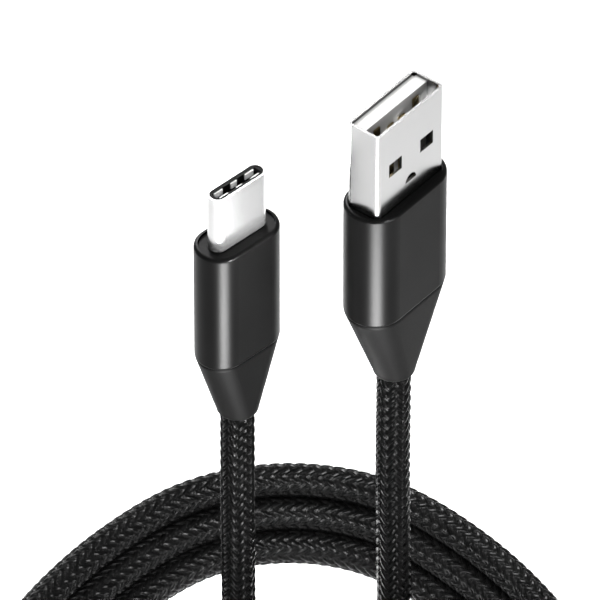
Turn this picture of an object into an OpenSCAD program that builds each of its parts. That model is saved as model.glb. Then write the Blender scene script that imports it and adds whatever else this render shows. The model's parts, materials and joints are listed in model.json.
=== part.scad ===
// Coiled charging cable with a type A plug on one end and a type C plug on the other.
// Millimetres. The coil lies flat on z = 0 with its centre on the Z axis, and both plugs
// stand up inside it on the ends of the cord. +Y points to the far side of the coil.

/* [Cord] */
// Diameter of the braided cord, mm
cord_d = 4.1; // [3:0.1:6]

/* [Coil] */
// Radius of the innermost turn round the far end of the coil, mm
coil_far_r = 21; // [18:0.5:30]
// Radius of the innermost turn along the two sides of the coil, mm
coil_side_r = 58; // [45:1:80]
// Angle from the far side at which the far end meets the sides, degrees
coil_far_angle = 40; // [30:1:45]
// Angle from the far side at which the sides meet the near end, degrees
coil_near_angle = 60; // [50:1:80]

/* [Type A plug] */
// Distance of the plug from the middle of the coil along X, mm
type_a_x = 12; // [8:0.5:20]
// Distance of the plug from the middle of the coil along Y, mm
type_a_y = 3.7; // [0:0.1:8]
// Height at which the cord enters the plug, mm
type_a_z = 57.6; // [45:0.1:80]
// Turn of the plug about its own axis, degrees
type_a_yaw = 51; // [0:1:90]
// Width of the metal shell, mm
type_a_shell_w = 12; // [11.9:0.05:12.1]
// Thickness of the metal shell, mm
type_a_shell_t = 4.5; // [4.4:0.05:4.6]
// Length of the shell that stands out of the housing, mm
type_a_shell_out = 12; // [11.7:0.1:13]
// Width of the housing, mm
type_a_housing_w = 14.5; // [14.4:0.1:16]
// Thickness of the housing, mm
type_a_housing_t = 7.3; // [7.2:0.1:8]
// Length of the housing, mm
type_a_housing_len = 16.4; // [14:0.1:24]
// Length of the strain relief, mm
type_a_relief_len = 12; // [8:0.5:20]

/* [Type C plug] */
// Distance of the plug from the middle of the coil along X, mm
type_c_x = -6; // [-16:0.5:-6]
// Distance of the plug from the middle of the coil along Y, mm
type_c_y = 1.7; // [0:0.1:8]
// Height at which the cord enters the plug, mm
type_c_z = 53.4; // [45:0.1:80]
// Turn of the plug about its own axis, degrees
type_c_yaw = 44; // [0:1:90]
// Width of the metal shell, mm
type_c_shell_w = 8.25; // [8.2:0.01:8.34]
// Thickness of the metal shell, mm
type_c_shell_t = 2.4; // [2.35:0.01:2.46]
// Length of the shell that stands out of the housing, mm
type_c_shell_out = 7.6; // [6.6:0.1:8]
// Width of the housing, mm
type_c_housing_w = 11.3; // [10.5:0.1:12.3]
// Thickness of the housing, mm
type_c_housing_t = 6.1; // [5.6:0.1:6.5]
// Length of the housing, mm
type_c_housing_len = 17; // [14:0.1:24]
// Length of the strain relief, mm
type_c_relief_len = 10; // [8:0.5:20]

/* [Hidden] */
$fn = 64;

gap = 0.03;
cord_r = cord_d / 2;
cord_sides = 10;

// Both housings.
sleeve_wall = 0.5;
edge_r = 0.45;
collar_len = 3;
collar_recess = 0.3;
relief_flange = 2.4;
relief_end_r = 2.45;
bore_play = 0.15;
clamp_len = 2.2;
clamp_wall = 0.55;
jacket_inside = 5.4;
wire_d = 0.9;
solder_r = 0.55;

// Type A plug, heights above the cord's entry.
type_a_sleeve_z = type_a_relief_len;
type_a_mouth_plane = type_a_sleeve_z + type_a_housing_len;
type_a_top = type_a_mouth_plane + type_a_shell_out;
type_a_shell_len = type_a_shell_out + 6.6;
type_a_shell_z = type_a_top - type_a_shell_len;
type_a_shell_wall = 0.32;
type_a_shell_corner = 0.6;
type_a_tongue_t = 1.88;
type_a_tongue_recess = 0.35;
type_a_contact_x = [-3.5, -1, 1, 3.5];
type_a_contact_w = 1;
type_a_contact_t = 0.2;
type_a_tail = 1.3;
type_a_mouth_depth = 11.8;
window_w = 2.3;
window_h = 1.9;
window_x = 2.82;
window_z = type_a_top - 7.2;
lance_w = 1.9;
lance_z = type_a_top - 10.1;

// Type C plug, heights above the cord's entry.
type_c_sleeve_z = type_c_relief_len;
type_c_mouth_plane = type_c_sleeve_z + type_c_housing_len;
type_c_top = type_c_mouth_plane + type_c_shell_out;
type_c_shell_len = type_c_shell_out + 5.9;
type_c_shell_z = type_c_top - type_c_shell_len;
type_c_shell_wall = 0.25;
type_c_slot_w = 6.7;
type_c_slot_t = 1.1;
ground_spring_pitch = 2.4;
outer_spring_w = 1.3;
middle_spring_w = 0.9;
type_c_contact_t = 0.15;
type_c_contact_w = 0.26;
type_c_contact_pitch = 0.5;
type_c_contact_count = 12;
type_c_tail = 1.2;
board_w = 8.6;
board_t = type_c_slot_t - 2 * type_c_contact_t;
board_z = type_c_sleeve_z + 5.6;
board_len = type_c_shell_z - board_z - 0.1;

// The coil's outline is an egg shape of four arcs, pointed towards the far side. Each turn
// is a parallel curve of it. The arcs' centres are found first with the two sides' centres
// on the X axis, and then moved so that the middle of the coil is on the Z axis.
coil_side_x = (coil_side_r - coil_far_r) * sin(coil_far_angle);
coil_near_r = coil_side_r - coil_side_x / sin(coil_near_angle);
coil_far_rise = (coil_side_r - coil_far_r) * cos(coil_far_angle);
coil_near_rise = coil_side_x / tan(coil_near_angle);
coil_shift = -(coil_far_rise + coil_far_r + coil_near_rise - coil_near_r) / 2;
coil_rings = 72;
// The turns are stacked three, two and one, so the coil's section is a triangle.
stack_base = [0, cord_r];
stack_outer = [2 * cord_d, cord_r];
stack_top = [cord_d, cord_r + cord_d * sqrt(3)];

// Route of the free cord at each end, from the plug to the coil.
type_a_route = [
    [12, 3.7, 74.8], [12, 3.7, 57], [12, 3.7, 36], [12, 3.7, 14.1],
    [11.6, 3.3, 10.3], [10.4, 2.1, 7], [8.6, 0.1, 4.3], [6.2, -2.3, 2.6],
    [3.7, -4.9, 2.05], [1.3, -8.6, 2.05], [0.6, -13, 2.05], [1.6, -17.2, 2.05],
    [4.1, -20.8, 2.05], [7.9, -23, 2.05], [12.2, -23.7, 2.05], [16.5, -22.5, 2.05],
    [20, -19.9, 2.05], [22.7, -16.2, 2.05], [25.2, -12.5, 2.05], [27.9, -8, 2.05],
    [29.5, -3, 2.05]
];
type_c_route = [
    [-6, 1.7, 68.6], [-6, 1.7, 53], [-6, 1.7, 34], [-6, 1.7, 13.1],
    [-6, 1.2, 9.7], [-5.8, -0.4, 6.6], [-5.6, -2.8, 4.2], [-5.3, -5.9, 2.6],
    [-5, -9.3, 2.05], [-5.5, -13.1, 2.05], [-7.3, -16.4, 2.05], [-10.3, -18.8, 2.05],
    [-14, -19.9, 2.05], [-17.8, -19.4, 2.05], [-21.2, -17.6, 2.05], [-23.6, -14.5, 2.05],
    [-24.8, -11.6, 2.05], [-26, -8.1, 2.93], [-27.5, -4.5, 4.87], [-28.7, -1, 6.95],
    [-29.7, 2.2, 8.81], [-31, 6.4, 9.69], [-31.4, 10.1, 9.51]
];

black = [0.13, 0.13, 0.14];
dark_grey = [0.3, 0.3, 0.31];
steel = [0.82, 0.83, 0.85];
gold = [0.85, 0.66, 0.25];
white_plastic = [0.93, 0.93, 0.91];
solder_grey = [0.7, 0.71, 0.72];
board_green = [0.08, 0.35, 0.2];

// ---- Placing ----

module on_type_a() {
    translate([type_a_x, type_a_y, type_a_z]) rotate([0, 0, type_a_yaw]) children();
}

module on_type_c() {
    translate([type_c_x, type_c_y, type_c_z]) rotate([0, 0, type_c_yaw]) children();
}

// ---- Shared shapes ----

// Sweeps a section, drawn as radius and height, round a slot shape whose straight
// sides have the given length. A section that starts at radius 0 makes a solid.
module round_slot(straight) {
    for (side = [-1, 1])
        translate([side * straight / 2, 0, 0])
            rotate([0, 0, -90 * side])
                rotate_extrude(angle = 180)
                    children();
    rotate([90, 0, 90])
        translate([0, 0, -straight / 2])
            linear_extrude(straight) {
                children();
                mirror([1, 0]) children();
            }
}

// Section of a wall from radius r0 to r1, with its outer corners rounded.
module rounded_section(r0, r1, z0, z1, corner) {
    translate([r0, z0 + corner]) square([r1 - r0, z1 - z0 - 2 * corner]);
    translate([r0, z0]) square([r1 - r0 - corner, z1 - z0]);
    for (z = [z0 + corner, z1 - corner])
        translate([r1 - corner, z]) circle(corner);
}

module section(r0, r1, z0, z1) {
    translate([r0, z0]) square([r1 - r0, z1 - z0]);
}

// A box with its four upright edges rounded, standing on z = 0.
module rounded_box(w, t, h, corner) {
    translate([-w / 2 + corner, -t / 2, 0]) cube([w - 2 * corner, t, h]);
    translate([-w / 2, -t / 2 + corner, 0]) cube([w, t - 2 * corner, h]);
    for (x = [-1, 1], y = [-1, 1])
        translate([x * (w / 2 - corner), y * (t / 2 - corner), 0]) cylinder(r = corner, h = h);
}

module box_at(centre, size) {
    translate([centre[0] - size[0] / 2, centre[1] - size[1] / 2, centre[2]]) cube(size);
}

// A straight wire from one point to another.
module wire(from, to) {
    run = to - from;
    len = norm(run);
    translate(from)
        rotate([0, acos(run[2] / len), atan2(run[1], run[0])])
            cylinder(d = wire_d, h = len, $fn = 24);
}

// A tapered boot from a round end at z = 0 to the housing's outline.
module boot(width, thick, len) {
    mid = 0.55;
    mid_w = relief_end_r * 2 * (1 - mid) + width * mid;
    mid_t = relief_end_r * 2 * (1 - mid) + thick * mid;
    hull() {
        boot_slice(relief_end_r * 2, relief_end_r * 2, 0);
        boot_slice(mid_w, mid_t, len * mid);
    }
    hull() {
        boot_slice(mid_w, mid_t, len * mid);
        boot_slice(width - 0.5, thick - 0.5, len - 0.05);
    }
}

module boot_slice(width, thick, z) {
    for (side = [-1, 1])
        translate([side * (width - thick) / 2, 0, z]) cylinder(d = thick, h = 0.05, $fn = 36);
}

module cord_bore(len) {
    translate([0, 0, -1]) cylinder(r = cord_r + bore_play, h = len + 2);
}

module sleeve(width, thick, z0, len) {
    r = thick / 2;
    round_slot(width - thick)
        difference() {
            rounded_section(r - 1.2, r, z0, z0 + len, edge_r);
            section(r - 2, r - sleeve_wall, z0 - 1, z0 + len + 1);
        }
}

module strain_relief(width, thick, len) {
    difference() {
        union() {
            boot(width, thick, len);
            round_slot(width - thick)
                section(0, thick / 2 - sleeve_wall - gap, len, len + relief_flange);
        }
        cord_bore(len + relief_flange);
    }
}

module cable_clamp(z) {
    difference() {
        translate([0, 0, z]) cylinder(r = cord_r + bore_play + clamp_wall, h = clamp_len);
        translate([0, 0, z - 1]) cylinder(r = cord_r + bore_play, h = clamp_len + 2);
    }
}

module inner_mould(width, thick, z0, z1, opening) {
    difference() {
        round_slot(width - thick) section(0, thick / 2 - sleeve_wall - gap, z0, z1);
        box_at([0, 0, z0 - 1], [opening[0], opening[1], z1 - z0 + 2]);
    }
}

// ---- Cord ----

// A triangle through the three corner turns, grown by the cord's radius on every side.
function stack_section(steps = 8) = [
    for (i = [0:2], k = [0:steps])
        let (turn = 120 * (k / steps + i) - 150)
        [stack_base, stack_outer, stack_top][i] + cord_r * [cos(turn), sin(turn)]
];

// A skin over rings of points that all have the same number of points.
module swept(rings, closed = false) {
    sides = len(rings[0]);
    spans = len(rings) - (closed ? 0 : 1);
    walls = [for (i = [0:spans - 1], k = [0:sides - 1])
        let (a = i * sides, b = (i + 1) % len(rings) * sides, next = (k + 1) % sides)
        [a + k, a + next, b + next, b + k]];
    triangles = [for (w = walls) each [[w[0], w[1], w[2]], [w[0], w[2], w[3]]]];
    start_cap = [for (k = [sides - 1:-1:0]) k];
    end_cap = [for (k = [0:sides - 1]) spans * sides + k];
    caps = closed ? [] : [start_cap, end_cap];
    polyhedron([for (ring = rings) each ring], concat(triangles, caps), convexity = 6);
}

// Centre and radius of the innermost turn's arc at an angle from the far side, -180 to 180.
function coil_arc(angle) =
    abs(angle) < coil_far_angle ? [[0, coil_far_rise], coil_far_r]
    : abs(angle) < coil_near_angle ? [[-sign(angle) * coil_side_x, 0], coil_side_r]
    : [[0, coil_near_rise], coil_near_r];

function coil_ring(angle, section) =
    let (arc = coil_arc(angle), outward = [sin(angle), cos(angle)])
    [for (p = section)
        let (flat = arc[0] + (arc[1] + p[0]) * outward) [flat[0], flat[1] + coil_shift, p[1]]];

module cable_coil() {
    section = stack_section();
    color(black)
        swept([for (i = [0:coil_rings - 1])
            coil_ring(360 * (i + 0.5) / coil_rings - 180, section)], closed = true);
}

function unit(v) = v / norm(v);
function route_heading(route, i) =
    unit(route[min(i + 1, len(route) - 1)] - route[max(i - 1, 0)]);
// The part of a side direction that is square to the heading.
function squared(side, heading) = unit(side - (side * heading) * heading);
function ring_points(centre, heading, side) =
    let (across = cross(heading, side))
    [for (k = [0:cord_sides - 1])
        centre + cord_r * (side * cos(360 * k / cord_sides) + across * sin(360 * k / cord_sides))];

// Each ring takes its side direction from the ring before, so the tube doesn't twist.
module cord_tube(route) {
    last = len(route) - 1;
    headings = [for (i = [0:last]) route_heading(route, i)];
    sides = [for (i = 0, side = [1, 0, 0]; i <= last;
                  i = i + 1, side = squared(side, headings[min(i, last)])) side];
    swept([for (i = [0:last]) ring_points(route[i], headings[i], sides[i])]);
}

module type_a_lead() {
    color(black) cord_tube(type_a_route);
}

module type_c_lead() {
    color(black) cord_tube(type_c_route);
}

// ---- Type A plug ----

module type_a_shell() {
    inner_w = type_a_shell_w - 2 * type_a_shell_wall;
    inner_t = type_a_shell_t - 2 * type_a_shell_wall;
    color(steel)
        on_type_a()
            difference() {
                translate([0, 0, type_a_shell_z])
                    rounded_box(type_a_shell_w, type_a_shell_t, type_a_shell_len,
                                type_a_shell_corner);
                translate([0, 0, type_a_shell_z - 1])
                    rounded_box(inner_w, inner_t, type_a_shell_len + 2,
                                type_a_shell_corner - type_a_shell_wall);
                for (x = [-1, 1])
                    box_at([x * window_x, 0, window_z], [window_w, type_a_shell_t + 2, window_h]);
                type_a_lance_cut();
            }
}

// The half-moon left where the locking tab is pressed out of each broad face.
module type_a_lance_cut() {
    intersection() {
        translate([0, type_a_shell_t, lance_z])
            rotate([90, 0, 0]) cylinder(d = lance_w, h = 2 * type_a_shell_t);
        box_at([0, 0, lance_z], [lance_w + 1, 2 * type_a_shell_t, lance_w]);
    }
}

module type_a_tongue() {
    inner_w = type_a_shell_w - 2 * type_a_shell_wall - 2 * gap;
    inner_y = type_a_shell_t / 2 - type_a_shell_wall - gap;
    z0 = type_a_shell_z + 0.4;
    color(white_plastic)
        on_type_a()
            difference() {
                box_at([0, inner_y - type_a_tongue_t / 2, z0],
                       [inner_w, type_a_tongue_t, type_a_top - type_a_tongue_recess - z0]);
                for (x = [-1, 1])
                    box_at([x * inner_w / 2, inner_y, z0 - 1], [0.6, 0.6, 30]);
            }
}

module type_a_contact(i, from_mouth) {
    face_y = type_a_shell_t / 2 - type_a_shell_wall - gap - type_a_tongue_t;
    z0 = type_a_shell_z - type_a_tail;
    color(gold)
        on_type_a()
            box_at([type_a_contact_x[i], face_y - type_a_contact_t / 2, z0],
                   [type_a_contact_w, type_a_contact_t, type_a_top - from_mouth - z0]);
}

module type_a_power_contact() {
    type_a_contact(0, 1.3);
}

module type_a_data_minus_contact() {
    type_a_contact(1, 2.3);
}

module type_a_data_plus_contact() {
    type_a_contact(2, 2.3);
}

module type_a_ground_contact() {
    type_a_contact(3, 1.3);
}

// Fills the shell behind the mouth and presses the contacts against the tongue.
module type_a_rear_block() {
    inner_w = type_a_shell_w - 2 * type_a_shell_wall - 2 * gap;
    low_y = -type_a_shell_t / 2 + type_a_shell_wall + gap;
    high_y = -low_y - type_a_tongue_t - type_a_contact_t;
    z0 = type_a_shell_z + 0.4;
    color(black)
        on_type_a()
            difference() {
                box_at([0, (low_y + high_y) / 2, z0],
                       [inner_w, high_y - low_y, type_a_top - type_a_mouth_depth - z0]);
                for (x = [-1, 1])
                    box_at([x * inner_w / 2, low_y, z0 - 1], [0.6, 0.6, 30]);
            }
}

module type_a_collar() {
    top = type_a_mouth_plane - collar_recess;
    color(dark_grey)
        on_type_a()
            difference() {
                round_slot(type_a_housing_w - type_a_housing_t)
                    section(0, type_a_housing_t / 2 - sleeve_wall - gap, top - collar_len, top);
                translate([0, 0, top - collar_len - 1])
                    rounded_box(type_a_shell_w + 2 * gap, type_a_shell_t + 2 * gap,
                                collar_len + 2, type_a_shell_corner);
            }
}

module type_a_housing() {
    color(black)
        on_type_a()
            sleeve(type_a_housing_w, type_a_housing_t, type_a_sleeve_z, type_a_housing_len);
}

module type_a_inner_mould() {
    color(dark_grey)
        on_type_a()
            inner_mould(type_a_housing_w, type_a_housing_t,
                        type_a_sleeve_z + jacket_inside + 0.2, type_a_shell_z - 0.1, [9.6, 3.4]);
}

module type_a_strain_relief() {
    color(dark_grey)
        on_type_a()
            strain_relief(type_a_housing_w, type_a_housing_t, type_a_relief_len);
}

module type_a_cable_clamp() {
    color(steel)
        on_type_a() cable_clamp(type_a_sleeve_z + relief_flange + 0.1);
}

// Each wire runs from the cord's cut end up to the tail of its contact.
module type_a_wire(i) {
    start_x = type_a_contact_x[i] * 0.32;
    start_z = type_a_route[0][2] - type_a_z - 0.4;
    on_type_a()
        wire([start_x, 0, start_z],
             [type_a_contact_x[i], -0.6, type_a_shell_z - type_a_tail + 0.4]);
}

module type_a_red_wire() {
    color("red") type_a_wire(0);
}

module type_a_white_wire() {
    color("white") type_a_wire(1);
}

module type_a_green_wire() {
    color("green") type_a_wire(2);
}

module type_a_black_wire() {
    color(black) type_a_wire(3);
}

module type_a_solder_joints() {
    color(solder_grey)
        on_type_a()
            for (x = type_a_contact_x)
                translate([x, -0.5, type_a_shell_z - type_a_tail + 0.6])
                    sphere(solder_r, $fn = 24);
}

// ---- Type C plug ----

module type_c_shell() {
    r = type_c_shell_t / 2;
    color(steel)
        on_type_c()
            round_slot(type_c_shell_w - type_c_shell_t)
                section(r - type_c_shell_wall, r, type_c_shell_z, type_c_top);
}

module type_c_mouth_lining() {
    r = type_c_shell_t / 2 - type_c_shell_wall - gap;
    color(black)
        on_type_c()
            difference() {
                round_slot(type_c_shell_w - type_c_shell_t)
                    section(0, r, type_c_shell_z + 0.2, type_c_top - 0.12);
                box_at([0, 0, type_c_shell_z - 1],
                       [type_c_slot_w, type_c_slot_t, type_c_shell_len + 2]);
            }
}

// Three springs on each side of the mouth touch the socket's own shell.
module type_c_ground_springs() {
    color(steel)
        on_type_c()
            for (place = [-1, 0, 1], side = [-1, 1])
                box_at([place * ground_spring_pitch,
                        side * (type_c_slot_t - type_c_contact_t) / 2, type_c_top - 1.0],
                       [place == 0 ? middle_spring_w : outer_spring_w,
                        type_c_contact_t, 0.8]);
}

module type_c_contact_row(side) {
    y = side * (type_c_slot_t - type_c_contact_t) / 2;
    z0 = type_c_shell_z - type_c_tail;
    first_x = -type_c_contact_pitch * (type_c_contact_count - 1) / 2;
    color(gold)
        on_type_c()
            for (i = [0:type_c_contact_count - 1])
                box_at([first_x + i * type_c_contact_pitch, y, z0],
                       [type_c_contact_w, type_c_contact_t, type_c_top - 1.6 - z0]);
}

module type_c_upper_contacts() {
    type_c_contact_row(1);
}

module type_c_lower_contacts() {
    type_c_contact_row(-1);
}

module type_c_latch_springs() {
    color(steel)
        on_type_c()
            for (side = [-1, 1])
                box_at([side * (type_c_slot_w / 2 - 0.08), 0, type_c_top - 7.4],
                       [0.16, 0.7, 6]);
}

module type_c_circuit_board() {
    color(board_green)
        on_type_c() box_at([0, 0, board_z], [board_w, board_t, board_len]);
}

module type_c_resistor() {
    color(black)
        on_type_c()
            box_at([-2.6, board_t / 2 + 0.18, board_z + 2.2], [1, 0.36, 0.5]);
}

module type_c_capacitor() {
    color([0.72, 0.6, 0.42])
        on_type_c()
            box_at([2.4, board_t / 2 + 0.25, board_z + 2.1], [1, 0.5, 0.5]);
}

module type_c_collar() {
    top = type_c_mouth_plane - collar_recess;
    color(dark_grey)
        on_type_c()
            difference() {
                round_slot(type_c_housing_w - type_c_housing_t)
                    section(0, type_c_housing_t / 2 - sleeve_wall - gap, top - collar_len, top);
                round_slot(type_c_shell_w - type_c_shell_t)
                    section(0, type_c_shell_t / 2 + gap, top - collar_len - 1, top + 1);
            }
}

module type_c_housing() {
    color(black)
        on_type_c()
            sleeve(type_c_housing_w, type_c_housing_t, type_c_sleeve_z, type_c_housing_len);
}

module type_c_inner_mould() {
    color(dark_grey)
        on_type_c()
            inner_mould(type_c_housing_w, type_c_housing_t,
                        board_z + 0.3, type_c_shell_z - 0.1, [board_w + 0.1, 3.2]);
}

module type_c_strain_relief() {
    color(dark_grey)
        on_type_c()
            strain_relief(type_c_housing_w, type_c_housing_t, type_c_relief_len);
}

module type_c_cable_clamp() {
    color(steel)
        on_type_c() cable_clamp(type_c_sleeve_z + relief_flange + 0.1);
}

module type_c_wire(x) {
    start_z = type_c_route[0][2] - type_c_z - 0.4;
    on_type_c()
        wire([x * 0.32, 0.3, start_z], [x, board_t / 2 + 0.42, board_z + 1]);
}

module type_c_red_wire() {
    color("red") type_c_wire(-3.3);
}

module type_c_white_wire() {
    color("white") type_c_wire(-1.1);
}

module type_c_green_wire() {
    color("green") type_c_wire(1.1);
}

module type_c_black_wire() {
    color(black) type_c_wire(3.3);
}

module type_c_solder_joints() {
    color(solder_grey)
        on_type_c()
            for (x = [-3.3, -1.1, 1.1, 3.3])
                translate([x, board_t / 2 + 0.3, board_z + 1.2])
                    sphere(solder_r, $fn = 24);
}

cable_coil();
type_a_lead();
type_c_lead();
type_a_shell();
type_a_tongue();
type_a_power_contact();
type_a_data_minus_contact();
type_a_data_plus_contact();
type_a_ground_contact();
type_a_rear_block();
type_a_collar();
type_a_housing();
type_a_inner_mould();
type_a_strain_relief();
type_a_cable_clamp();
type_a_red_wire();
type_a_white_wire();
type_a_green_wire();
type_a_black_wire();
type_a_solder_joints();
type_c_shell();
type_c_mouth_lining();
type_c_ground_springs();
type_c_upper_contacts();
type_c_lower_contacts();
type_c_latch_springs();
type_c_circuit_board();
type_c_resistor();
type_c_capacitor();
type_c_collar();
type_c_housing();
type_c_inner_mould();
type_c_strain_relief();
type_c_cable_clamp();
type_c_red_wire();
type_c_white_wire();
type_c_green_wire();
type_c_black_wire();
type_c_solder_joints();
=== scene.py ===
"""Looks for the coiled charging cable: the braided cord, the moulded strain reliefs,
the materials, the camera and the lights. The outlines and lengths of the reliefs and the
cord's thickness come from the CAD frame. The cord's routes and the coil's outline repeat
those of the CAD source."""

import json
import math

import bpy
import numpy as np
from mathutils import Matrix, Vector


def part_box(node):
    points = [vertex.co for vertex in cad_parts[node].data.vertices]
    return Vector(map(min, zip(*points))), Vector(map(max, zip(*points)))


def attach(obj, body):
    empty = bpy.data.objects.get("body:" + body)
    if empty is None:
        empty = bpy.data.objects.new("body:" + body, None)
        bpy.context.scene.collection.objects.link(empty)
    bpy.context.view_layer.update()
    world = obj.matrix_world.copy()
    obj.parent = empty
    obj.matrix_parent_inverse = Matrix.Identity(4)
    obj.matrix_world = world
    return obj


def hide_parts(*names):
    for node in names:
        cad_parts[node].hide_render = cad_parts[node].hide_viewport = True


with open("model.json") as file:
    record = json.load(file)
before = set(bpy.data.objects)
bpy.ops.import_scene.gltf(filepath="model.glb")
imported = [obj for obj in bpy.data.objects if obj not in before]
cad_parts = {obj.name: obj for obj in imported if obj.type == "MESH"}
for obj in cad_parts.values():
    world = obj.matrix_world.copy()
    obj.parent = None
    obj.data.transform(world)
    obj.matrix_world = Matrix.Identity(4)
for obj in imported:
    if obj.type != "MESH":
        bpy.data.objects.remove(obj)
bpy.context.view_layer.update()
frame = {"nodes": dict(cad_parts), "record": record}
MM = 0.001

# ---- Camera ----

LOOK_AT = Vector((1.2, 24, 50)) * MM
CAMERA_DISTANCE = 1.4
CAMERA_ELEVATION = math.radians(42)
CAMERA_LENS = 720


def make_camera():
    """Looks down at the plugs along the Y axis, through a long lens."""
    data = bpy.data.cameras.new("camera")
    data.lens = CAMERA_LENS
    data.clip_start = 0.1
    camera = bpy.data.objects.new("camera", data)
    bpy.context.scene.collection.objects.link(camera)
    away = Vector((0, math.cos(CAMERA_ELEVATION), -math.sin(CAMERA_ELEVATION)))
    camera.location = LOOK_AT - CAMERA_DISTANCE * away
    camera.rotation_euler = (math.pi / 2 - CAMERA_ELEVATION, 0, 0)
    bpy.context.scene.camera = camera


# ---- Route of the cord ----


def cord_thickness():
    """From the height of the coil, whose turns are stacked three, two and one. It is
    rounded to a hundredth of a millimetre."""
    low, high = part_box("cable_coil")
    height = (high[2] - low[2]) / MM
    return round(height / (1 + math.sqrt(3)), 2) * MM


CORD_D = cord_thickness()
# The egg-shaped outline of the innermost turn: four arcs, as in the CAD source.
FAR_R = 21 * MM
SIDE_R = 58 * MM
FAR_ANGLE = math.radians(40)
NEAR_ANGLE = math.radians(60)
SIDE_X = (SIDE_R - FAR_R) * math.sin(FAR_ANGLE)
NEAR_R = SIDE_R - SIDE_X / math.sin(NEAR_ANGLE)
FAR_RISE = (SIDE_R - FAR_R) * math.cos(FAR_ANGLE)
NEAR_RISE = SIDE_X / math.tan(NEAR_ANGLE)
SHIFT = -(FAR_RISE + FAR_R + NEAR_RISE - NEAR_R) / 2
# Each turn moves on to its next place in this part of the outline, which the camera
# doesn't see. Angles run counterclockwise from the X axis.
MOVES_FROM = 320
MOVES_TO = 370
TURNS = 6
# The end of the top turn leaves the stack between these angles.
LEAVES_FROM = 152
LEAVES_TO = 206
# Points worked out on the spline for each of its given points.
SAMPLES_PER_POINT = 40

# Points of the free cord at each end, in millimetres, from the plug to the coil.
TYPE_A_ROUTE = [
    (12, 3.7, 74.8), (12, 3.7, 57), (12, 3.7, 36), (12, 3.7, 14.1),
    (11.6, 3.3, 10.3), (10.4, 2.1, 7), (8.6, 0.1, 4.3), (6.2, -2.3, 2.6),
    (3.7, -4.9, 2.05), (1.3, -8.6, 2.05), (0.6, -13, 2.05), (1.6, -17.2, 2.05),
    (4.1, -20.8, 2.05), (7.9, -23, 2.05), (12.2, -23.7, 2.05), (16.5, -22.5, 2.05),
    (20, -19.9, 2.05),
]
TYPE_C_ROUTE = [
    (-6, 1.7, 68.6), (-6, 1.7, 53), (-6, 1.7, 34), (-6, 1.7, 13.1),
    (-6, 1.2, 9.7), (-5.8, -0.4, 6.6), (-5.6, -2.8, 4.2), (-5.3, -5.9, 2.6),
    (-5, -9.3, 2.05), (-5.5, -13.1, 2.05), (-7.3, -16.4, 2.05), (-10.3, -18.8, 2.05),
    (-14, -19.9, 2.05), (-17.8, -19.4, 2.05), (-21.2, -17.6, 2.05),
]


def coil_point(angle, out, up):
    """A point on the turn that lies `out` and `up` diameters from the innermost one."""
    from_far = math.radians((90 - angle + 180) % 360 - 180)
    if abs(from_far) < FAR_ANGLE:
        x, y, radius = 0, FAR_RISE, FAR_R
    elif abs(from_far) < NEAR_ANGLE:
        x, y, radius = -math.copysign(SIDE_X, from_far), 0, SIDE_R
    else:
        x, y, radius = 0, NEAR_RISE, NEAR_R
    radius += out * CORD_D
    return (
        x + radius * math.sin(from_far),
        y + radius * math.cos(from_far) + SHIFT,
        up * CORD_D,
    )


def polar(angle):
    """A step of one unit towards an angle in degrees."""
    return math.cos(math.radians(angle)), math.sin(math.radians(angle))


def eased(share):
    """Goes from 0 to 1 with an even push and then an even brake."""
    share = min(1, max(0, share))
    return 2 * share**2 if share < 0.5 else 1 - 2 * (1 - share) ** 2


def place_in_stack(turn, share):
    """Where turn number `turn` lies when it is `share` of the way to its next place,
    in diameters out from the innermost turn and up from the floor. Turns that touch are one
    diameter apart, so they climb and roll over each other by multiples of 60 degrees."""
    if turn <= 2:
        return turn - 1 + share, 0.5
    if turn == 3:
        x, z = polar(120 * share)
        return 1 + share + x, 0.5 + z
    out = 1.5 - share
    nearest = min(abs(out - (k + share)) for k in (-1, 0, 1))
    up = 0.5 + math.sqrt(1 - nearest**2)
    if turn == 4:
        return out, up
    x, z = polar(180 - 120 * share)
    return out + x, up + z


def leaving_stack(share):
    """The top turn rolls inwards over the turn below it and down the innermost one."""
    if share <= 2 / 3:
        x, z = polar(60 + 180 * share)
        return 0.5 + x, 0.5 + math.sqrt(0.75) + z
    x, z = polar(180 * share)
    return x, 0.5 + z


def coil_points(step=6):
    """Points along all the turns, `step` degrees apart, from the inner end at the bottom to
    the top turn and down again into the middle."""
    points = []
    for angle in range(MOVES_FROM + step, 360 * TURNS + LEAVES_TO + 1, step):
        turn, into = divmod(angle - MOVES_FROM, 360)
        place = place_in_stack(turn, eased(into / (MOVES_TO - MOVES_FROM)))
        leaving = (angle - 360 * TURNS - LEAVES_FROM) / (LEAVES_TO - LEAVES_FROM)
        if leaving > 0:
            place = leaving_stack(eased(leaving))
        points.append(coil_point(angle, *place))
    return points


def run_along(points):
    """How far along the line each of its points lies."""
    steps = np.linalg.norm(np.diff(points, axis=0), axis=1)
    return np.concatenate([[0], np.cumsum(steps)])


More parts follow.
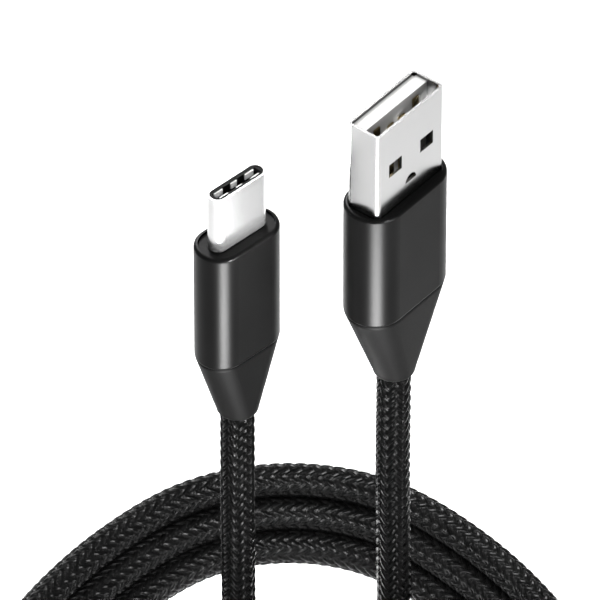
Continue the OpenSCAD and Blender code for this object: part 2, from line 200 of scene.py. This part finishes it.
def smooth_line(points, spacing):
    """A natural cubic spline through the points. Gives points on it at an even spacing,
    and its length."""
    points = np.array(points)
    knots = run_along(points)
    gaps = np.diff(knots)
    count = len(points)
    matrix = np.eye(count)
    right = np.zeros((count, 3))
    for i in range(1, count - 1):
        matrix[i, i - 1 : i + 2] = gaps[i - 1], 2 * (gaps[i - 1] + gaps[i]), gaps[i]
        right[i] = 6 * (
            (points[i + 1] - points[i]) / gaps[i] - (points[i] - points[i - 1]) / gaps[i - 1]
        )
    bend = np.linalg.solve(matrix, right)
    at = np.linspace(0, knots[-1], count * SAMPLES_PER_POINT)
    piece = np.clip(np.searchsorted(knots, at, side="right") - 1, 0, count - 2)
    gap = gaps[piece][:, None]
    past = (at - knots[piece])[:, None]
    left = gap - past
    dense = (
        bend[piece] * left**3 / (6 * gap)
        + bend[piece + 1] * past**3 / (6 * gap)
        + (points[piece] / gap - bend[piece] * gap / 6) * left
        + (points[piece + 1] / gap - bend[piece + 1] * gap / 6) * past
    )
    # The spline dips a little between points on the floor, so it is held up there.
    dense[:, 2] = np.maximum(dense[:, 2], CORD_D / 2)
    run = run_along(dense)
    even = np.linspace(0, run[-1], int(round(run[-1] / spacing)) + 1)
    return np.stack([np.interp(even, run, dense[:, i]) for i in range(3)], axis=1), run[-1]


def cord_line(spacing):
    """The middle of the whole cord, from inside one plug to inside the other."""
    start = [tuple(c * MM for c in p) for p in TYPE_A_ROUTE]
    end = [tuple(c * MM for c in p) for p in reversed(TYPE_C_ROUTE)]
    return smooth_line(start + coil_points() + end, spacing)


def frames_along(line):
    """Two side directions at every point, carried along so that the cord doesn't twist."""
    ahead = np.gradient(line, axis=0)
    ahead /= np.linalg.norm(ahead, axis=1)[:, None]
    sides = np.empty_like(line)
    side = np.array([1.0, 0, 0])
    for i, heading in enumerate(ahead):
        side = side - side.dot(heading) * heading
        side /= np.linalg.norm(side)
        sides[i] = side
    return sides, np.cross(ahead, sides)


# ---- Braid ----

# Yarns in each of the two sets, which wind opposite ways round the cord.
YARNS = 12
# Distance along the cord from one yarn to the next.
YARN_STEP = 1.5 * MM
# How far a yarn weaves out and in. A wave over 1 cuts its highs and lows flat.
YARN_RISE = 0.13 * MM
YARN_WAVE = 1.3
# How far a yarn's section is rounded, and the share of its place that it fills.
YARN_CROWN = 0.24 * MM
YARN_FILL = 0.84
# The deepest that a gap between yarns goes.
DEEPEST = 0.4 * MM
# Points round the cord, and the distance between its rings of points.
AROUND = 84
RING_SPACING = 0.19 * MM


def yarn_height(own, other, sign):
    """Height of one set of yarns, how far across its yarn each point lies, and which yarn it
    is. The yarns pass over two and under two of the other set."""
    index = np.floor(own)
    across = (2 * (own - index) - 1) / YARN_FILL
    wave = sign * np.cos(np.pi / 2 * (other + index + 0.5) - np.pi / 4)
    crown = np.sqrt(np.clip(1 - across**2, 0, 1))
    return YARN_RISE * np.clip(YARN_WAVE * wave, -1, 1) + YARN_CROWN * (crown - 1), across, index


def braid_surface(distance, around):
    """Radius, the place across and along the top yarn, and that yarn's number, at points of
    the cord."""
    first = around * YARNS / (2 * np.pi) + distance / YARN_STEP
    second = around * YARNS / (2 * np.pi) - distance / YARN_STEP
    first_height, first_across, first_index = yarn_height(first, second, 1)
    second_height, second_across, second_index = yarn_height(second, first, -1)
    first_on_top = first_height >= second_height
    height = np.where(first_on_top, first_height, second_height)
    across = np.where(first_on_top, first_across, second_across)
    along = np.where(first_on_top, second, -first)
    index = np.where(first_on_top, first_index % YARNS, YARNS + second_index % YARNS)
    radius = CORD_D / 2 - YARN_RISE + np.maximum(height, -DEEPEST)
    return radius, across, along, index


def lower_end(node):
    """The middle of a CAD node's lowest level."""
    low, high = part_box(node)
    return (low[0] + high[0]) / 2, (low[1] + high[1]) / 2, low[2]


def type_c_plug(relief):
    """The pieces of the type C plug, with `relief` in place of the CAD one."""
    pieces = [name for name in frame["nodes"] if name.startswith("type_c_")]
    pieces.remove("type_c_lead")
    pieces.remove("type_c_strain_relief")
    return pieces + [relief]


def braided_mesh(line, length):
    """A closed tube along the line whose surface is the braid."""
    sides, ups = frames_along(line)
    count = len(line)
    distance = np.linspace(0, length, count)[:, None]
    around = np.linspace(0, 2 * np.pi, AROUND, endpoint=False)[None, :]
    radius, across, along, index = braid_surface(distance, around)
    verts = (
        line[:, None, :]
        + radius[..., None] * np.cos(around)[..., None] * sides[:, None, :]
        + radius[..., None] * np.sin(around)[..., None] * ups[:, None, :]
    ).reshape(-1, 3)
    ring = np.arange(AROUND)
    start = (np.arange(count - 1) * AROUND)[:, None]
    quads = np.stack(
        [
            start + ring,
            start + np.roll(ring, -1),
            start + AROUND + np.roll(ring, -1),
            start + AROUND + ring,
        ],
        axis=-1,
    ).reshape(-1, 4)
    mesh = bpy.data.meshes.new("braided_cord")
    mesh.vertices.add(len(verts))
    mesh.vertices.foreach_set("co", verts.ravel())
    mesh.loops.add(quads.size + 2 * AROUND)
    caps = np.concatenate([ring[::-1], (count - 1) * AROUND + ring])
    mesh.loops.foreach_set("vertex_index", np.concatenate([quads.ravel(), caps]))
    mesh.polygons.add(len(quads) + 2)
    starts = np.concatenate([np.arange(len(quads)) * 4, quads.size + np.array([0, AROUND])])
    mesh.polygons.foreach_set("loop_start", starts)
    mesh.update(calc_edges=True)
    mesh.polygons.foreach_set("use_smooth", np.ones(len(quads) + 2, bool))
    weave = mesh.attributes.new("weave", "FLOAT_VECTOR", "POINT")
    weave.data.foreach_set("vector", np.stack([across, along, index], axis=-1).ravel())
    mesh.materials.append(braid_material())
    return mesh


def make_cord(far_pieces):
    """The whole cord. `far_pieces` is not used."""
    line, length = cord_line(RING_SPACING)
    cord = bpy.data.objects.new("braided_cord", braided_mesh(line, length))
    bpy.context.scene.collection.objects.link(cord)
    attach(cord, "root")
    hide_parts("cable_coil", "type_a_lead", "type_c_lead")


# ---- Materials ----

# Specular levels of the black parts. They are low because the studio round them is white.
BLACK_GLOSS = 0.06
HOUSING_GLOSS = 0.066
BRAID_GLOSS = 0.04


class Tree:
    """Short calls for a material's nodes."""

    def __init__(self, name):
        self.material = bpy.data.materials.new(name)
        self.material.use_nodes = True
        self.nodes = self.material.node_tree.nodes
        self.links = self.material.node_tree.links
        self.shader = self.nodes["Principled BSDF"]

    def add(self, kind, **inputs):
        node = self.nodes.new(kind)
        for name, value in inputs.items():
            self.put(node, name.replace("_", " "), value)
        return node

    def put(self, node, socket, value):
        target = node.inputs[socket]
        if isinstance(value, bpy.types.NodeSocket):
            self.links.new(value, target)
        else:
            target.default_value = value

    def set(self, **inputs):
        for name, value in inputs.items():
            self.put(self.shader, name.replace("_", " "), value)

    def place(self):
        return self.add("ShaderNodeTexCoord").outputs["Object"]

    def noise(self, scale, detail=3, vector=None):
        node = self.add("ShaderNodeTexNoise", Scale=scale, Detail=detail)
        self.links.new(vector or self.place(), node.inputs["Vector"])
        return node.outputs["Fac"]

    def math(self, operation, a, b=0.0):
        node = self.add("ShaderNodeMath")
        node.operation = operation
        self.put(node, 0, a)
        self.put(node, 1, b)
        return node.outputs[0]

    def spread(self, value, low, high):
        node = self.add("ShaderNodeMapRange", Value=value)
        node.inputs["To Min"].default_value = low
        node.inputs["To Max"].default_value = high
        return node.outputs["Result"]

    def mix(self, share, a, b):
        """A colour between two. Sockets 6 and 7 are the node's two colours."""
        node = self.add("ShaderNodeMix")
        node.data_type = "RGBA"
        self.put(node, 0, share)
        self.put(node, 6, (*a, 1))
        self.put(node, 7, (*b, 1))
        return node.outputs[2]

    def bump(self, height, distance, strength=1.0):
        node = self.add("ShaderNodeBump", Height=height, Distance=distance, Strength=strength)
        self.put(self.shader, "Normal", node.outputs["Normal"])


def braid_material():
    """Glossy black nylon: fine strands along each yarn, and yarns that differ a little."""
    tree = Tree("black nylon braid")
    weave = tree.add("ShaderNodeAttribute")
    weave.attribute_name = "weave"
    parts = tree.add("ShaderNodeSeparateXYZ", Vector=weave.outputs["Vector"])
    across, along, index = (parts.outputs[k] for k in "XYZ")
    strands = tree.math("COSINE", tree.math("MULTIPLY", across, 3 * math.pi))
    edge = tree.math("POWER", tree.math("ABSOLUTE", across), 4.0)
    fluff = tree.noise(2600, 4)
    height = tree.math(
        "ADD",
        tree.math("MULTIPLY", strands, 0.4),
        tree.math("MULTIPLY", fluff, 0.5),
    )
    tree.bump(height, 0.03 * MM, 0.7)
    yarn = tree.add("ShaderNodeTexWhiteNoise")
    yarn.noise_dimensions = "1D"
    tree.put(yarn, "W", tree.math("ROUND", index))
    shade = tree.math("MULTIPLY", yarn.outputs["Value"], tree.noise(900, 2))
    tree.set(
        Base_Color=tree.mix(shade, (0.0005, 0.0005, 0.0005), (0.002, 0.002, 0.002)),
        Roughness=tree.math(
            "ADD",
            tree.spread(fluff, 0.12, 0.22),
            tree.math("MULTIPLY", edge, 0.6),
        ),
    )
    tree.shader.inputs["Specular IOR Level"].default_value = BRAID_GLOSS
    return tree.material


def plastic(name, dark, light, rough, grain=4000, depth=0.01, specular=0.5):
    """Moulded plastic or rubber with a fine grain."""
    tree = Tree(name)
    fine = tree.noise(grain, 3)
    broad = tree.noise(150, 2)
    tree.set(Base_Color=tree.mix(broad, dark, light), Roughness=tree.spread(fine, *rough))
    tree.shader.inputs["Specular IOR Level"].default_value = specular
    tree.bump(fine, depth * MM, 0.6)
    return tree.material


def nickel_material(name, bright, rough, metallic=1.0):
    """Nickel plate, with soft shade painted into its colour where it meets other parts."""
    tree = Tree(name)
    polish = tree.noise(220, 2)
    shade = tree.add("ShaderNodeAmbientOcclusion", Distance=1.6 * MM)
    shade.samples = 8
    # Painted shade: ambient occlusion darkens the plate towards near black where other parts are
    # close by.
    tree.set(
        Base_Color=tree.mix(shade.outputs["AO"], (0.04, 0.04, 0.04), (bright, bright, bright)),
        Roughness=tree.spread(polish, *rough),
        Metallic=metallic,
    )
    tree.bump(tree.noise(3000, 4), 0.002 * MM, 0.4)
    return tree.material


def tongue_material():
    """White moulded plastic, with shade painted into its colour that makes it darker deep in the
    mouth.
    """
    tree = Tree("white insulator")
    shade = tree.add("ShaderNodeAmbientOcclusion", Distance=2.5 * MM)
    shade.samples = 8
    # Painted shade: ambient occlusion darkens the white towards near black in the mouth and behind
    # the windows.
    tree.set(
        Base_Color=tree.mix(shade.outputs["AO"], (0.02, 0.02, 0.02), (0.68, 0.68, 0.67)),
        Roughness=tree.spread(tree.noise(4000), 0.35, 0.5),
    )
    return tree.material


def metal(name, dark, light, rough, grain=3000, depth=0.002, metallic=1.0):
    """Plated or drawn metal with a faint grain and broad changes of polish."""
    tree = Tree(name)
    fine = tree.noise(grain, 4)
    broad = tree.noise(220, 2)
    tree.set(
        Base_Color=tree.mix(broad, dark, light),
        Roughness=tree.spread(broad, *rough),
        Metallic=metallic,
    )
    tree.bump(fine, depth * MM, 0.5)
    return tree.material


def housing_material():
    """Black satin anodised sleeve: bead-blasted grain under a clear seal."""
    tree = Tree("black anodised housing")
    fine = tree.noise(5200, 4)
    broad = tree.noise(180, 2)
    tree.set(
        Base_Color=tree.mix(broad, (0.001, 0.001, 0.001), (0.002, 0.002, 0.002)),
        Roughness=tree.spread(fine, 0.3, 0.42),
    )
    tree.shader.inputs["Specular IOR Level"].default_value = HOUSING_GLOSS
    tree.bump(fine, 0.003 * MM, 0.5)
    return tree.material


def relief_material():
    """Soft black elastomer with a fine moulded grain."""
    tree = Tree("relief elastomer")
    grain = tree.noise(6500, 4)
    tree.set(
        Base_Color=tree.mix(tree.noise(250, 2), (0.001, 0.001, 0.001), (0.002, 0.002, 0.002)),
        Roughness=tree.spread(grain, 0.45, 0.6),
    )
    tree.shader.inputs["Specular IOR Level"].default_value = BLACK_GLOSS
    tree.bump(grain, 0.008 * MM, 0.7)
    return tree.material


def gold_painted_dark_for_shade_material():
    """Gold plate over nickel, worn a little paler where plugs have rubbed it, and painted dark
    overall as shade for the mouth.
    """
    tree = Tree("gold plate")
    worn = tree.noise(900, 3)
    # Painted shade: both golds are far darker than gold plate, so the contacts look as if in the
    # mouth's shade.
    tree.set(Base_Color=tree.mix(worn, (0.3, 0.22, 0.1), (0.42, 0.33, 0.18)), Metallic=1.0)
    tree.set(Roughness=tree.spread(tree.noise(5000, 2), 0.18, 0.3))
    return tree.material


def board_material():
    """Green solder mask with faint tracks under it."""
    tree = Tree("circuit board")
    tracks = tree.add("ShaderNodeTexBrick", Scale=900.0, Mortar_Size=0.03)
    tree.put(tracks, "Vector", tree.place())
    tree.set(Base_Color=tree.mix(tracks.outputs["Fac"], (0.01, 0.09, 0.03), (0.03, 0.16, 0.06)))
    tree.set(Roughness=tree.spread(tree.noise(3000), 0.25, 0.4))
    return tree.material


def give(material, *nodes):
    """Puts the material in every slot of the CAD nodes."""
    for name in nodes:
        for slot in frame["nodes"][name].material_slots:
            slot.link = "OBJECT"
            slot.material = material


# ---- Strain reliefs ----

# Radius of the lower end, and of the rounding of its rim.
RELIEF_END_R = 2.5 * MM
RELIEF_LIP = 0.45 * MM
# Step from the housing's outline to the relief's.
RELIEF_INSET = 0.08 * MM
# Points round the relief, and rings of points up its taper.
RELIEF_SIDES = 96
RELIEF_RINGS = 24
# The moulding runs on a little way inside the housing, a little slimmer.
RELIEF_TONGUE = 0.6 * MM
RELIEF_TONGUE_INSET = 0.3 * MM


def spread_along(node, direction):
    """How far a CAD node reaches along a direction."""
    reach = [vertex.co.dot(direction) for vertex in node.data.vertices]
    return max(reach) - min(reach)


def slot_ring(width, thick, height, near, along):
    """Points round a slot shape whose long way runs along `along`."""
    ring = []
    for i in range(RELIEF_SIDES):
        turn = 2 * math.pi * (i + 0.5) / RELIEF_SIDES
        shift = math.copysign((width - thick) / 2, math.cos(turn))
        across = shift + thick / 2 * math.cos(turn)
        ring.append(across * along + thick / 2 * math.sin(turn) * near + Vector((0, 0, height)))
    return ring


def make_relief(plug):
    """A smooth taper from the housing's outline down to the cord."""
    relief_node = "type_%s_strain_relief" % plug
    housing_node = frame["nodes"]["type_%s_housing" % plug]
    mounts = {mount["name"]: mount for mount in frame["record"]["mounts"]}
    near = Vector(mounts["type_%s_housing_face" % plug]["axis"])
    along = Vector((-near.y, near.x, 0))
    width = spread_along(housing_node, along) - 2 * RELIEF_INSET
    thick = spread_along(housing_node, near) - 2 * RELIEF_INSET
    start = Vector(lower_end(relief_node))
    length = lower_end("type_%s_housing" % plug)[2] - start.z

    def ring(share, height, grow=0.0):
        end = 2 * RELIEF_END_R
        across = end + (width - end) * share + 2 * grow
        through = end + (thick - end) * share + 2 * grow
        return slot_ring(across, through, height, near, along)

    # The lower rim is rounded, then come the taper and the part inside the housing.
    rings = [
        ring(0, RELIEF_LIP * (1 - math.cos(turn)), -RELIEF_LIP * (1 - math.sin(turn)))
        for turn in (0, math.pi / 8, math.pi / 4, 3 * math.pi / 8)
    ]
    rings += [
        ring(share, RELIEF_LIP + (length - RELIEF_LIP) * share)
        for share in np.linspace(0, 1, RELIEF_RINGS)
    ]
    rings += [ring(1, length + RELIEF_TONGUE, -RELIEF_TONGUE_INSET)]
    verts = [point for ring_points in rings for point in ring_points]
    faces = [
        (
            row * RELIEF_SIDES + i,
            row * RELIEF_SIDES + (i + 1) % RELIEF_SIDES,
            (row + 1) * RELIEF_SIDES + (i + 1) % RELIEF_SIDES,
            (row + 1) * RELIEF_SIDES + i,
        )
        for row in range(len(rings) - 1)
        for i in range(RELIEF_SIDES)
    ]
    faces.append(tuple(reversed(range(RELIEF_SIDES))))
    faces.append(tuple(range((len(rings) - 1) * RELIEF_SIDES, len(verts))))
    name = "type_%s_relief_moulding" % plug
    mesh = bpy.data.meshes.new(name)
    mesh.from_pydata(verts, [], faces)
    mesh.shade_smooth()
    relief = bpy.data.objects.new(name, mesh)
    relief.location = start
    bpy.context.scene.collection.objects.link(relief)
    relief.data.materials.append(relief_material())
    bpy.context.view_layer.update()
    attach(relief, "root")
    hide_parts(relief_node)
    return relief


def dress_plugs():
    """Gives every CAD node that shows, or could show, its material."""
    nickel = nickel_material("satin nickel plate", 0.56, (0.18, 0.26), metallic=0.9)
    housing = housing_material()
    black_from, black_to = (0.003, 0.003, 0.003), (0.006, 0.006, 0.006)
    black = plastic("black insulator", black_from, black_to, (0.4, 0.55), specular=BLACK_GLOSS)
    collar = plastic("black collar", black_from, black_to, (0.35, 0.5), specular=BLACK_GLOSS)
    inner = plastic("inner mould", (0.03, 0.03, 0.03), (0.05, 0.05, 0.05), (0.5, 0.6))
    steel = metal("crimped steel", (0.45, 0.45, 0.45), (0.6, 0.6, 0.6), (0.3, 0.45))
    solder = metal("solder", (0.55, 0.55, 0.56), (0.72, 0.72, 0.73), (0.2, 0.35))
    give(nickel_material("bright nickel plate", 0.52, (0.16, 0.26)), "type_a_shell")
    give(nickel, "type_c_shell", "type_c_latch_springs")
    # Painted highlight: the springs get a near white, half matte copy of the plating so that they
    # look lit deep in the dark mouth.
    springs_painted_bright = metal("springs painted bright", (0.9, 0.9, 0.9), (0.97, 0.97, 0.97), (0.3, 0.4), metallic=0.3)
    give(springs_painted_bright, "type_c_ground_springs")
    give(tongue_material(), "type_a_tongue")
    give(black, "type_a_rear_block", "type_c_mouth_lining", "type_c_resistor")
    give(plastic("tan chip", (0.25, 0.15, 0.07), (0.35, 0.22, 0.1), (0.4, 0.6)), "type_c_capacitor")
    give(board_material(), "type_c_circuit_board")
    gold = gold_painted_dark_for_shade_material()
    for contact in ("power", "data_minus", "data_plus", "ground"):
        give(gold, "type_a_%s_contact" % contact)
    give(gold, "type_c_upper_contacts", "type_c_lower_contacts")
    colours = {
        "red": ((0.4, 0.01, 0.01), (0.5, 0.02, 0.02)),
        "white": ((0.75, 0.75, 0.73), (0.85, 0.85, 0.83)),
        "green": ((0.01, 0.2, 0.03), (0.02, 0.28, 0.05)),
        "black": ((0.01, 0.01, 0.01), (0.02, 0.02, 0.02)),
    }
    wires = {
        colour: plastic(colour + " insulation", dark, light, (0.35, 0.5))
        for colour, (dark, light) in colours.items()
    }
    for plug in "ac":
        start = "type_%s_" % plug
        give(housing, start + "housing")
        give(collar, start + "collar")
        give(inner, start + "inner_mould")
        give(steel, start + "cable_clamp")
        give(solder, start + "solder_joints")
        for colour, material in wires.items():
            give(material, start + colour + "_wire")


# ---- Stage ----


def make_floor():
    """A wide pale plane under the coil."""
    bpy.ops.mesh.primitive_plane_add(size=6, location=(0, 0, 0))
    floor = bpy.context.object
    floor.name = "floor"
    tree = Tree("pale floor")
    tree.set(Base_Color=tree.mix(tree.noise(3, 2), (0.9, 0.9, 0.9), (0.93, 0.93, 0.93)))
    tree.shader.inputs["Roughness"].default_value = 0.8
    floor.data.materials.append(tree.material)


def area_light(name, place, aim, size, power, spread=180):
    """A soft rectangular light. Places are in metres, and the spread is in degrees."""
    data = bpy.data.lights.new(name, "AREA")
    data.shape = "RECTANGLE"
    data.size, data.size_y = size
    data.energy = power
    data.spread = math.radians(spread)
    light = bpy.data.objects.new(name, data)
    bpy.context.scene.collection.objects.link(light)
    light.location = place
    light.rotation_euler = (Vector(aim) - Vector(place)).to_track_quat("-Z", "Y").to_euler()
    light.visible_camera = False


def make_lights():
    """A white studio all round, with six soft lights."""
    world = bpy.data.worlds.new("studio")
    world.use_nodes = True
    background = world.node_tree.nodes["Background"]
    background.inputs["Color"].default_value = (1, 1, 1, 1)
    background.inputs["Strength"].default_value = 0.75
    bpy.context.scene.world = world
    area_light(
        "key", place=(-0.08, 0.16, 0.46), aim=(0, 0.02, 0.02), size=(0.12, 0.1), power=0.6
    )
    # Low in front of the plugs, for the bright stripe down each housing.
    area_light(
        "front_low", place=(0.015, -0.07, 0.003), aim=(0.005, 0.003, 0.07),
        size=(0.045, 0.024), power=0.12, spread=70,
    )
    area_light(
        "coil_front", place=(0.002, 0.008, 0.026), aim=(0, 0.036, 0.004),
        size=(0.05, 0.004), power=0.05, spread=120,
    )
    area_light(
        "right_fill", place=(0.2, -0.25, 0.2), aim=(0, 0, 0.08), size=(0.1, 0.1), power=0.15
    )
    # Narrow, so that it lights the broad face of the type C shell and little else.
    area_light(
        "type_c_side", place=(0.12, -0.12, 0.1), aim=(-0.006, 0.0017, 0.084),
        size=(0.01, 0.01), power=0.006, spread=8,
    )
    area_light(
        "back_rim", place=(-0.1, 0.34, 0.3), aim=(0, 0.03, 0.01),
        size=(0.16, 0.12), power=0.2, spread=40,
    )


make_camera()
make_lights()
make_floor()
make_relief("a")
make_cord(type_c_plug(make_relief("c")))
dress_plugs()
bpy.context.scene.view_settings.view_transform = "Standard"
